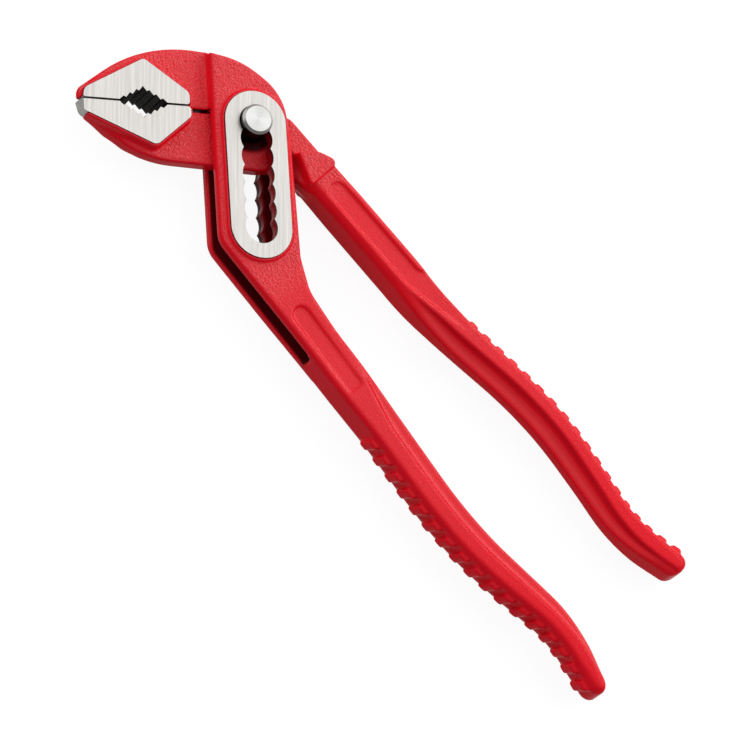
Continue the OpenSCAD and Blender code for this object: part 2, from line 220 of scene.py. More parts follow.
@dataclass
class Volume:
    """Grid of points in mm about the pin, on which solids are drawn as distance fields."""

    low: Point
    high: Point
    step: float
    rounds: int = 5  # how often a skin is evened out and drawn back onto its field
    rests: int = 2  # how often it is then only evened out
    pull: float = 0.5  # share of the way to its neighbours that a vertex goes
    least_slope: float = 0.3  # keeps a vertex from jumping where a field is level

    def __post_init__(self) -> None:
        """Lays out the grid."""
        x, y, z = (
            np.arange(a, b + self.step, self.step, dtype=np.float32)
            for a, b in zip(self.low, self.high)
        )
        self.px, self.py = np.meshgrid(x, y, indexing="ij")
        self.x = x[:, None, None]
        self.z = z[None, None, :]
        hx, hy = STANCE.upright(self.px, self.py)
        self.hx, self.hy = hx[:, :, None], hy[:, :, None]

    def outline(self, points: Array) -> Array:
        """Distance to a closed outline in plan, negative inside.

        Args:
            points: Points of the outline, one per row.

        Returns:
            Field with one layer.
        """
        best = np.full(self.px.shape, FAR, np.float32)
        inside = np.zeros(self.px.shape, bool)
        for (ax, ay), (bx, by) in zip(points.tolist(), np.roll(points, -1, axis=0).tolist()):
            ex, ey = bx - ax, by - ay
            wx, wy = self.px - ax, self.py - ay
            t = np.clip((wx * ex + wy * ey) / max(ex * ex + ey * ey, TINY), 0, 1)
            best = np.minimum(best, (wx - t * ex) ** 2 + (wy - t * ey) ** 2)
            if ay != by:
                inside ^= ((ay > self.py) != (by > self.py)) & (wx < wy * (ex / ey))
        return (np.where(inside, -1, 1) * np.sqrt(best))[:, :, None]

    def discs(self, places: Sequence[Span], r: float) -> Array:
        """Distance in plan to discs of radius r, placed with the slot running down -Y."""
        return np.minimum.reduce([np.hypot(self.hx - x, self.hy - y) for x, y in places]) - r

    def stadium(self, w: float, run: float) -> Array:
        """Distance in plan to a stadium w wide, whose middle line runs from the pin down the slot."""
        return np.hypot(self.hx, self.hy - np.clip(self.hy, -run, 0)) - w / 2

    def blurred(self, field: Array) -> Array:
        """Evens out every value with its neighbours, which takes the steps out of edges.

        Args:
            field: Field on the grid, or one layer of it.

        Returns:
            The evened field.
        """
        for axis in range(3):
            ends = [(1, 1) if k == axis else (0, 0) for k in range(3)]
            wide = np.pad(field, ends, mode="edge")
            before, after = (np.take(wide, np.arange(k, k + field.shape[axis]), axis) for k in (0, 2))
            field = field / 2 + (before + after) / 4
        return field

    def sampled(self, field: Array, points: Array) -> tuple[Array, Array]:
        """Values and slopes of a field between the points of the grid.

        Args:
            field: Field over the whole grid.
            points: Places in mm, one per row.

        Returns:
            One value and one slope for each place.
        """
        spot = (points - np.array(self.low)) / self.step
        base = np.clip(np.floor(spot).astype(np.int32), 0, np.array(field.shape) - 2)
        part = spot - base
        value, slope = np.zeros(len(points)), np.zeros((len(points), 3))
        for corner in CELL:
            here = field[tuple((base + corner).T)]
            share = np.where(corner, part, 1 - part)
            value += here * share.prod(axis=1)
            for axis in range(3):
                rest = share[:, axis - 1] * share[:, axis - 2]
                slope[:, axis] += here * rest * (1 if corner[axis] else -1)
        return value, slope / self.step

    def over(self, layer: Array, points: Array) -> Array:
        """Values of a field with one layer over points of any height."""
        flat = np.column_stack([points[:, :2], np.full(len(points), self.low[2])])
        return self.sampled(np.repeat(layer, 2, axis=2), flat)[0]

    def settled(self, field: Array, vertices: Array, faces: Array) -> Array:
        """Evens out the vertices of a skin, draws them back onto the field and lets them rest.

        Args:
            field: Field that the skin was made from.
            vertices: Vertices in mm.
            faces: Faces as rows of four vertex numbers.

        Returns:
            The vertices in their new places.
        """
        a, b = faces.ravel(), np.roll(faces, -1, axis=1).ravel()
        ends, others = np.concatenate([a, b]), np.concatenate([b, a])
        count = np.maximum(np.bincount(ends, minlength=len(vertices)), 1)
        for turn in range(self.rounds + self.rests):
            for k in range(3):
                mean = np.bincount(ends, vertices[others, k], len(vertices)) / count
                vertices[:, k] += self.pull * (mean - vertices[:, k])
            if turn >= self.rounds:
                continue
            value, slope = self.sampled(field, vertices)
            move = value / np.maximum((slope ** 2).sum(axis=1), self.least_slope)
            vertices -= slope * np.clip(move, -self.step, self.step)[:, None]
        return vertices

    def surface(self, field: Array) -> tuple[Array, Array]:
        """Skin of a field as one mesh of four-sided faces, by surface nets.

        Args:
            field: Field over the whole grid, negative inside.

        Returns:
            Vertices in mm and faces as rows of four vertex numbers.
        """
        inside = field < 0
        n = tuple(s - 1 for s in field.shape)
        filled = np.zeros(n, np.int8)
        for i, j, k in CELL:
            filled += inside[i:i + n[0], j:j + n[1], k:k + n[2]]
        cells = np.argwhere((filled > 0) & (filled < len(CELL)))
        number = np.full(n, -1, np.int32)
        number[tuple(cells.T)] = np.arange(len(cells))
        total = np.zeros((len(cells), 3))
        count = np.zeros((len(cells), 1))
        values = {c: field[tuple((cells + c).T)] for c in CELL}
        for a in CELL:
            for axis in range(3):
                if a[axis]:
                    continue
                b = tuple(1 if m == axis else a[m] for m in range(3))
                va, vb = values[a], values[b]
                crosses = ((va < 0) != (vb < 0))[:, None]
                spot = np.tile(np.array(a, float), (len(cells), 1))
                spot[:, axis] = va / np.where(va == vb, 1, va - vb)
                total += np.where(crosses, spot, 0)
                count += crosses
        vertices = (cells + total / count) * self.step + np.array(self.low)
        faces = []
        for axis in range(3):
            u, v = (axis + 1) % 3, (axis + 2) % 3
            first = [slice(1, s - 1) for s in field.shape]
            second = list(first)
            first[axis], second[axis] = slice(0, -1), slice(1, None)
            a, b = inside[tuple(first)], inside[tuple(second)]
            for sign in (True, False):
                at = np.argwhere((a != b) & (a == sign))
                at += [0 if m == axis else 1 for m in range(3)]
                ring = []
                for du, dv in ((0, 0), (1, 0), (1, 1), (0, 1)):
                    cell = at.copy()
                    cell[:, u] -= du
                    cell[:, v] -= dv
                    ring.append(number[tuple(cell.T)])
                faces.append(np.stack(ring if not sign else ring[::-1], axis=1))
        return vertices, np.concatenate(faces)[:, ::-1]


@dataclass(frozen=True)
class Grip:
    """Handle with a flat strip, a hollow cove, a thin inner flange and ribs on its outer side.

    Stretches of the middle line are (length, turn in degrees). Stations along it are (distance,
    outer half width, inner half width, width of the strip, share of the cove, edge radius).
    """

    start: Point  # x, y and heading in degrees
    stretches: tuple[Span, ...]
    stations: tuple[tuple[float, float, float, float, float, float], ...]
    side: int  # 1 where the ribs are left of the middle line, -1 where right
    outer_r: float
    rib_from: float
    rib_count: int
    rib_pitch: float
    root_dip: float = 0.0  # how far the faces dip at the root
    root_run: Span = (1.5, 16.0)
    half: float = 6.0
    flange_half: float = 2.6
    inner_r: float = 1.3
    back_r: float = 0.8
    r_change: Span = (-1.0, 3.0)  # past the crease, where the edge radius becomes outer_r
    end_l: float = 4.0
    end_round: float = 1.3
    end_run: Span = (15.0, 3.0)  # before the end, where the edges grow rounder
    crease_soft: float = 0.06  # share of the cove's run over which its profile is smoothed
    crease_mm: float = 0.4
    shut_crease: float = 1.4  # where the crease is without a cove, in radii from the inner side
    cove_power: float = 3.0  # 2 is a round hollow, more is squarer
    cove_lip: float = 0.8
    mark_gain: float = 2.0  # how soon the paint takes notice of a shallow cove
    steepest: float = 3.0  # slope beyond which a wall counts as no steeper
    rib_h: float = 1.8
    rib_len: float = 3.8
    rib_half: float = 3.7
    rib_slope: float = 0.25
    rib_r: float = 0.4
    rib_lean: float = math.radians(18)
    rib_root: float = 2.5  # how deep the ribs reach into the handle
    rib_fillet: float = 0.45
    step: float = 0.5
    hair: float = 0.01  # steps in which the middle line is summed up
    soft: float = 9.0  # length over which a change of station is eased
    margin: float = 20.0  # how far the stations are kept past both ends

    @property
    def length(self) -> float:
        """Length of the middle line."""
        return sum(s for s, _ in self.stretches)

    def poses(self, places: Array) -> Array:
        """Places and headings along the middle line.

        Args:
            places: Distances from the start, rising.

        Returns:
            Rows (x, y, heading in radians).
        """
        spans, turns = np.array(self.stretches).T
        s = np.arange(0, self.length + self.hair, self.hair)
        bend = np.interp(s, np.cumsum([0, *spans]), np.cumsum([0, *turns]))
        heading = np.radians(self.start[2] + bend)
        moves = np.stack([np.cos(heading), np.sin(heading)]) * self.hair
        x, y = (a + np.cumsum(k) - (k + k[0]) / 2 for a, k in zip(self.start, moves))
        return np.stack([np.interp(places, s, row) for row in (x, y, heading)], axis=1)

    def station(self, d: Array, column: int) -> Array:
        """Value of a station column along the handle, eased between stations.

        Args:
            d: Distances from the start.
            column: Column of the stations.

        Returns:
            Values at these distances.
        """
        fine = np.arange(-self.margin, self.length + self.margin, self.step)
        table = np.array(self.stations)
        value = np.interp(fine, table[:, 0], table[:, column])
        half = int(self.soft / self.step / 2)
        return np.interp(d, fine, smoothed(smoothed(value, half), half))

    def plan(self) -> Array:
        """Outline of the handle in plan.

        Returns:
            Points of the outline, anticlockwise.
        """
        quarter = np.radians(np.arange(6, 91, 6))
        ends = self.length - self.end_l * (1 - np.sin(quarter))
        d = np.concatenate([np.arange(0, self.length - self.end_l, 1.0), ends])
        closing = np.clip((d - self.length + self.end_l) / self.end_l, 0, 1)
        shut = np.sqrt(np.clip(1 - closing ** 2, 0, 1))
        x, y, heading = self.poses(d).T
        left = np.stack([-np.sin(heading), np.cos(heading)], axis=1) * self.side
        middle = np.stack([x, y], axis=1)
        outer = middle + left * (self.station(d, 1) * shut)[:, None]
        inner = middle - left * (self.station(d, 2) * shut)[:, None]
        points = np.concatenate([inner, outer[::-1][1:]])
        return points if self.side > 0 else points[::-1]

    def along(self, v: Volume) -> tuple[Array, Array]:
        """Distance along the middle line and distance to its outer side, for each point in plan.

        Args:
            v: Grid to work on.

        Returns:
            Two fields with one layer each.
        """
        best = np.full(v.px.shape, FAR, np.float32)
        d = np.zeros_like(best)
        u = np.zeros_like(best)
        places = np.arange(0, self.length, self.step)
        for s, (x, y, heading) in zip(places, self.poses(places)):
            wx, wy = v.px - np.float32(x), v.py - np.float32(y)
            near = wx * wx + wy * wy
            nearer = near < best
            best = np.where(nearer, near, best)
            c, n = math.cos(heading), math.sin(heading)
            d = np.where(nearer, s + wx * c + wy * n, d)
            u = np.where(nearer, self.side * (wy * c - wx * n), u)
        return d[:, :, None], u[:, :, None]

    def hollow(self) -> tuple[Array, Array]:
        """Profile of the cove from the crease to the flange.

        Returns:
            Shares of the run and shares of the drop at them.
        """
        s = np.linspace(-0.5, 1.5, 801)  # past both ends, for the smoothing
        t = np.clip(s, 0, 1)
        drop = (1 - (1 - t) ** self.cove_power) ** (1 / self.cove_power)
        return s, smoothed(drop, int(self.crease_soft / (s[1] - s[0])))

    def solid(self, v: Volume) -> tuple[Array, Marks]:
        """Field of the handle with its ribs, and what its plan says about the paint.

        Args:
            v: Grid to draw on.

        Returns:
            The field, and fields with one layer: 1 inside the cove, and 1 along the crease.
        """
        d, u = self.along(v)
        columns = (self.station(d, k).astype(np.float32) for k in range(1, 6))
        outer, inner, strip, cove, edge = columns
        no_cove = self.shut_crease * self.inner_r - inner
        crease = (1 - cove) * no_cove + cove * (outer - strip)
        run = crease + inner - self.inner_r
        low = self.half - cove * (self.half - self.flange_half)
        drop = np.interp((crease - u) / run, *self.hollow()).astype(np.float32)
        top = self.half - (self.half - low) * drop
        top = top - self.root_dip * (1 - eased(d, *self.root_run))
        top = v.blurred(v.blurred(top))
        gx, gy = np.gradient(top[:, :, 0], v.step)
        lean = 1 / np.sqrt(1 + np.minimum(gx * gx + gy * gy, self.steepest ** 2))[:, :, None]
        edge = np.where(v.z > 0, edge, self.back_r)
        r = edge + (self.outer_r - edge) * eased(u - crease, *self.r_change)
        r = r + self.end_round * eased(d, *(self.length - s for s in self.end_run))
        body = section(v.outline(self.plan()), (np.abs(v.z) - top) * lean, r)
        shown = np.clip(cove * self.mark_gain, 0, 1)
        within = eased(crease - u, 0, self.cove_lip) * shown
        # Along the crease, where the paint gets painted shade.
        line = np.exp(-((u - crease) / self.crease_mm) ** 2) * shown
        return joined(body, self.ribs(v, d, u - outer), self.rib_fillet), (within, line)

    def ribs(self, v: Volume, d: Array, rise: Array) -> Array:
        """Field of the leaned ribs, each with sloped sides and ends.

        Args:
            v: Grid to draw on.
            d: Distance along the handle.
            rise: Height over the outer wall.

        Returns:
            Field that is negative inside the ribs.
        """
        e = d - self.rib_from - v.z * math.tan(self.rib_lean)
        i = np.clip(np.round(e / self.rib_pitch), 0, self.rib_count - 1)
        across = (e - i * self.rib_pitch) * math.cos(self.rib_lean)
        draft = np.clip(rise, 0, self.rib_h) * self.rib_slope
        sides = np.maximum(np.abs(across) - self.rib_len / 2, np.abs(v.z) - self.rib_half) + draft
        rib = section(sides, rise - self.rib_h, self.rib_r)
        return np.maximum(rib, -rise - self.rib_root)


@dataclass(frozen=True)
class Jaws:
    """The two bare inserts in plan, and what both noses lose at their tips."""

    upper_y: float = 4.5
    lower_y: float = 3.8
    reach: float = 58.6
    half: float = 6.7
    bevel: float = math.radians(27)
    bevel_from: float = 40.4  # where the bevel at the back starts, from the pin
    lean: float = math.radians(21)
    tip_z: float = 2.8  # height at which the leaned nose wall has its full reach

    def upper(self, past: float = 0.0) -> list[Corner]:
        """Corners of the upper insert, drawn past the parting line by past."""
        low, nose = self.upper_y - past, self.reach
        return STANCE.turned([
            (-21.4, low, 1), (-21.4, 8.5, 2.5), (-36.2, 18.9, 1.8),
            (1.9 - nose, 7.5, 3), (1.5 - nose, low, 0.6),
        ])

    def lower(self, past: float = 0.0) -> list[Corner]:
        """Corners of the lower insert, drawn past the parting line by past."""
        high, nose = self.lower_y + past, self.reach
        return STANCE.turned([
            (0.1 - nose, high, 0.4), (1.2 - nose, 0.2, 2), (-33.2, -9.9, 2.4),
            (-21.1, 0.5, 2), (-21.1, high, 1),
        ])

    def nose_cut(self, v: Volume) -> Array:
        """Field of what both noses lose: the bevel at the back and the leaned front wall.

        Args:
            v: Grid to draw on.

        Returns:
            Field that is negative in what is taken off.
        """
        c, s = math.cos(self.bevel), math.sin(self.bevel)
        back = (v.hx + self.bevel_from) * s + (v.z + self.half) * c
        c, s = math.cos(self.lean), math.sin(self.lean)
        front = (v.hx + self.reach) * c - (v.z - self.tip_z) * s
        return np.minimum(back, front)


JAWS = Jaws()


@dataclass(frozen=True)
class Layer:
    """Slab of a forging: half its thickness, the radius of its edges and its fillet to the rest."""

    half: float
    r: float
    fillet: float

    def onto(self, body: Array, plan: Array, v: Volume) -> Array:
        """Body with this slab joined to it."""
        return joined(body, slab(plan, v.z, self.half, self.r), self.fillet)


@dataclass(frozen=True)
class PaintSpread:
    """Where the paint is pebbled, where its clear film is thick and where shade is painted into it,
    along the crease too.
    """

    flat: Span = (0.75, 0.97)  # how level a place is for none and all of the pebbles
    # share of painted shade along the crease
    crease_dark: float = 0.3
    rim_from: float = -14.5  # left of this, pads higher than rim_half are smooth
    rim_half: float = 5.6
    cove_smooth: float = 0.9
    cove_thin: float = 0.5
    cove_edge: Span = (0.4, 0.9)
    cove_gloss: float = 0.55
    grip_turn: float = 8.0
    grip_smooth: float = 0.68
    grip_thin: float = 0.4
    handled: float = 0.65  # film lost towards the ends of the handles
    handled_run: Span = (80.0, 190.0)

    def shares(
        self, points: Array, level: Array, marks: Marks, oil: Array, grip_from: float,
    ) -> dict[Share, Array]:
        """Works out the shares of pebbles, clear film and painted shade.

        Args:
            points: Vertices in mm.
            level: How far each vertex faces up or down.
            marks: Share of the cove and of the crease at each vertex.
            oil: Share of painted shade at each vertex, from the arm.
            grip_from: Where the smooth paint of the handle begins.

        Returns:
            One value per vertex for each share.
        """
        cove, line = marks
        x, hx = points[:, 0], STANCE.upright(points[:, 0], points[:, 1])[0]
        # Painted shade along the crease of the handle, added to the arm's own.
        oil = np.maximum(oil, self.crease_dark * line)
        unshaded = np.clip(1 - 2 * oil, 0, 1)
        flat = eased(level, *self.flat) * unshaded
        rim = (hx < self.rim_from) & (np.abs(points[:, 2]) > self.rim_half)
        gripped = eased(x, grip_from - self.grip_turn, grip_from + self.grip_turn)
        grain = flat * (1 - self.cove_smooth * cove) * (1 - rim)
        grain *= 1 - self.grip_smooth * gripped
        coat = flat * (1 - self.cove_thin * cove)
        coat *= 1 - self.handled * eased(x, *self.handled_run)
        coat *= 1 - self.grip_thin * gripped
        in_cove = eased(level, *self.cove_edge) * cove * unshaded * self.cove_gloss
        return {Share.GRAIN: grain, Share.COAT: np.maximum(coat, in_cove), Share.PAINTED_SHADE: oil}


@dataclass
class ForgedArm:
    """Painted forging whose skin is drawn as a distance field and meshed."""

    node: str
    body: Body
    grip: Grip
    grip_from: float
    low: Point = (-47, -47, -8.4)  # corners of the grid
    high: Point = (209, 21, 8.4)
    step: float = 0.36  # of the grid
    proud: float = 0.5  # most that the skin may stand out of the solid's box
    box_half: float = 6.5
    pad: Layer = Layer(6.65, 0.5, 1.2)
    pad_rim: float = 0.8
    seat_play: float = -0.05
    seat_break: float = 0.05
    past: float = 1.2  # how far a seat runs past the parting line
    part_break: float = 0.1
    part_band: float = 0.25  # walls this near to the parting line get painted shade
    part_dark: float = 0.95
    panel_slope: float = 0.7
    nose_break: float = 0.6
    spread: PaintSpread = PaintSpread()

    def with_pad(
        self, v: Volume, body: Array, insert: Sequence[Corner], within: Array,
    ) -> Array:
        """Body with the low pad that carries its insert, kept within a field."""
        outline = v.outline(rounded(grown(insert, self.pad_rim)))
        return self.pad.onto(body, np.maximum(outline, within), v)

    def parted(
        self, v: Volume, body: Array, insert: Sequence[Corner], beyond: Array,
    ) -> Array:
        """Body without the seat of its insert and without what lies beyond the parting line."""
        pocket = v.outline(rounded(grown(insert, self.seat_play)))
        return cut(cut(body, pocket, self.seat_break), beyond, self.part_break)

    def sunk(self, v: Volume, outline: Array, floor: Amount) -> Array:
        """Field of a sunk panel with sloped walls in both faces.

        Args:
            v: Grid to draw on.
            outline: Outline of the panel's floor.
            floor: Height of the floor over the mid-plane.

        Returns:
            Field that is negative in what is taken out.
        """
        up = np.abs(v.z) - floor
        wall = (v.outline(outline) - up * self.panel_slope) / math.hypot(1, self.panel_slope)
        return np.maximum(wall, -up)

    def solid(self, v: Volume) -> tuple[Array, Marks]:
        """Field of the arm and the marks of its handle; each arm draws its own."""
        raise NotImplementedError

    def darkened(self, hx: Array, hy: Array, points: Array) -> Array:
        """Share of painted shade on the skin; each arm knows where shade falls on it."""
        raise NotImplementedError

    def skin(self) -> bpy.types.Mesh:
        """Meshes the arm and writes on the mesh what its paint has to know.

        Returns:
            The mesh, in metres.
        """
        v = Volume(self.low, self.high, self.step)
        field, marks = self.solid(v)
        low, high = (np.array(p) / MM - np.array(STANCE.pin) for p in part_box(self.node))
        field = v.blurred(field.astype(np.float32))
        points, faces = v.surface(field)
        points = v.settled(field, points, faces)
        points = np.clip(points, low - self.proud, high + self.proud)
        mesh = bpy.data.meshes.new(f"{self.node}_skin")
        mesh.from_pydata(STANCE.placed(points), [], faces.tolist())
        mesh.update()
        mesh.shade_smooth()
        normals = np.empty(len(points) * 3, np.float32)
        mesh.vertex_normals.foreach_get("vector", normals)
        level = np.abs(normals.reshape(-1, 3)[:, 2])
        cove, line = (v.over(mark, points) for mark in marks)
        # Share of painted shade, where the arm lies in shade.
        oil = self.darkened(*STANCE.upright(points[:, 0], points[:, 1]), points)
        shares = self.spread.shares(points, level, (cove, line), oil, self.grip_from)
        for share, values in shares.items():
            attribute = mesh.attributes.new(share.value, "FLOAT", "POINT")
            attribute.data.foreach_set("value", values.astype(np.float32))
        return mesh

    def build(self, finish: bpy.types.Material) -> bpy.types.Object:
        """Dresses the arm and sets it in place of its solid.

        Args:
            finish: Material of the paint.

        Returns:
            The finished object.
        """
        piece = bpy.data.objects.new(f"{self.node}_forging", self.skin())
        bpy.context.scene.collection.objects.link(piece)
        piece.data.materials.append(finish)
        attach(piece, self.body.value)
        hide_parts(self.node)
        return piece


@dataclass
class SlottedArm(ForgedArm):
    """Upper jaw, the two cheeks of the box joint and the lower handle, in one forging."""

    box_left: float = 13.5
    box_right: float = 12.7
    front_r: float = 1.3
    back_r: float = 0.6
    neck: Span = (48.0, 72.0)  # where the cheeks thin down to the handle
    gap_half: float = 2.9
    gap_end: float = 68.3
    gap_spare: float = math.radians(32)  # room between the open arm and the end of the gap
    gap_break: float = 0.5
    gap_edge: Span = (-0.05, 0.5)  # past the cheek's inner face, where the painted shade ends
    gap_mouth: Span = (0.2, 1.2)  # in from the cheek's edge, where the painted shade starts
    # painted shade between the cheeks
    gap_dark: float = 0.94
    open_max: float = math.radians(30)
    eye_space: float = 11.8
    web: Layer = Layer(3.0, 0.9, 1.6)
    boss: Layer = Layer(7.85, 0.4, 0.9)
    boss_rim: float = 0.8
    plate_w: float = 20.5
    handle_fillet: float = 0.25
    panel_at: Span = (56.0, -32.0)
    panel_turn: float = math.radians(-4.5)
    panel_sink: float = 0.55
    panel_break: float = 0.4
    seats: int = 7
    seat_pitch: float = 5.9
    seat_d: float = 10.8
    seat_rim: float = 0.2
    seat_wall: float = 0.3  # this near to a seat, the skin is its wall
    # painted shade on the walls of the seats
    seat_dark: float = 0.55

    def cheek_outline(self) -> Array:
        """Outline of the cheeks and the neck."""
        left, right, turned = -self.box_left, self.box_right, STANCE.turned
        return rounded([
            *turned([(left, 23.3, 0), (left, -39.9, 9)]),
            (74, -38.6, 0), (74, -26.9, 0), (52, -23.9, 14),
            *turned([(right + 0.9, -44, 12), (right, -4.3, 0), (10.9, 11, 18), (-2.3, 21.2, 28)]),
        ])

    def darkened(self, hx: Array, hy: Array, points: Array) -> Array:
        """Share of painted shade: on the walls of the seats, between the cheeks and along the parting
        line.

        Args:
            hx: Places across the slot.
            hy: Places along the slot.
            points: The same places in the frame of the tool.

        Returns:
            One share for each place.
        """
        x, z = points[:, 0], np.abs(points[:, 2])
        seat = [np.hypot(hx, hy + i * self.seat_pitch) for i in range(self.seats)]
        wall = (np.minimum.reduce(seat) < self.seat_d / 2 + self.seat_wall) * self.seat_dark
        between = 1 - eased(z, *(self.gap_half + s for s in self.gap_edge))
        between *= eased(hx, *(s - self.box_left for s in self.gap_mouth)) * (x < self.gap_end)
        part = (np.abs(hy - JAWS.upper_y) < self.part_band) & (hx < -self.box_left)
        return np.maximum.reduce([wall, between * self.gap_dark, part * self.part_dark])

    def web_outline(self) -> Array:
        """Outline of the upper jaw's web."""
        back, nose, low = 1 - self.box_left, -JAWS.reach, JAWS.upper_y
        return rounded(STANCE.turned([
            (back, low, 0), (back, 24.1, 0), (-33.5, 26.4, 47), (nose, 7.9, 4), (nose, low, 0.8),
        ]))

    def gap(self, v: Volume) -> Array:
        """Field of the space between the cheeks.

        Args:
            v: Grid to draw on.

        Returns:
            Field that is negative in the space.
        """
        far, wide, part = 200.0, self.open_max + self.gap_spare, JAWS.upper_y
        wedge = rounded(STANCE.turned([
            (-far, part, 0), (-far, -far, 0), (far, -far, 0),
            (far * math.cos(wide), far * math.sin(wide), 0), (0, 0, 0), (0, part, 0),
        ]))
        plan = np.minimum(v.outline(wedge), v.discs([(0, 0)], self.eye_space))
        end = np.maximum(v.x - self.gap_end + self.gap_half, 0)
        return np.maximum(plan, np.hypot(end, v.z) - self.gap_half)

    def panel_outline(self) -> Array:
        """Outline of the sunk panel on the neck: round at the head end, square at the other."""
        corners = [(-2.7, -2.7, 2.69), (28.5, -2.7, 0.8), (28.5, 2.7, 0.8), (-2.7, 2.7, 2.69)]
        return rounded(spun(corners, self.panel_turn, self.panel_at))

    def solid(self, v: Volume) -> tuple[Array, Marks]:
        """Field of the arm.

        Args:
            v: Grid to draw on.

        Returns:
            The field and the marks of the handle.
        """
        run = (self.seats - 1) * self.seat_pitch
        half = np.interp(v.x, self.neck, (self.box_half, self.grip.half)).astype(np.float32)
        edge = np.where(v.z > 0, self.front_r, self.back_r)
        body = slab(v.outline(self.cheek_outline()), v.z, half, edge)
        web = v.outline(self.web_outline())
        body = self.web.onto(body, web, v)
        body = self.with_pad(v, body, JAWS.upper(), web)
        body = self.boss.onto(body, v.stadium(self.plate_w + 2 * self.boss_rim, run), v)
        handle, marks = self.grip.solid(v)
        body = joined(body, handle, self.handle_fillet)
        panel = self.sunk(v, self.panel_outline(), self.grip.half - self.panel_sink)
        body = cut(cut(body, panel, self.panel_break), self.gap(v), self.gap_break)
        places = [(0, -i * self.seat_pitch) for i in range(self.seats)]
        body = cut(body, v.discs(places, self.seat_d / 2), self.seat_rim)
        below = np.maximum(v.hx + self.box_left, v.hy - JAWS.upper_y)
        body = self.parted(v, body, JAWS.upper(self.past), below)
        plate = v.stadium(self.plate_w + 2 * self.seat_play, run)
        body = cut(body, np.maximum(plate, self.box_half - np.abs(v.z)), self.seat_break)
        return cut(body, JAWS.nose_cut(v), self.nose_break), marks


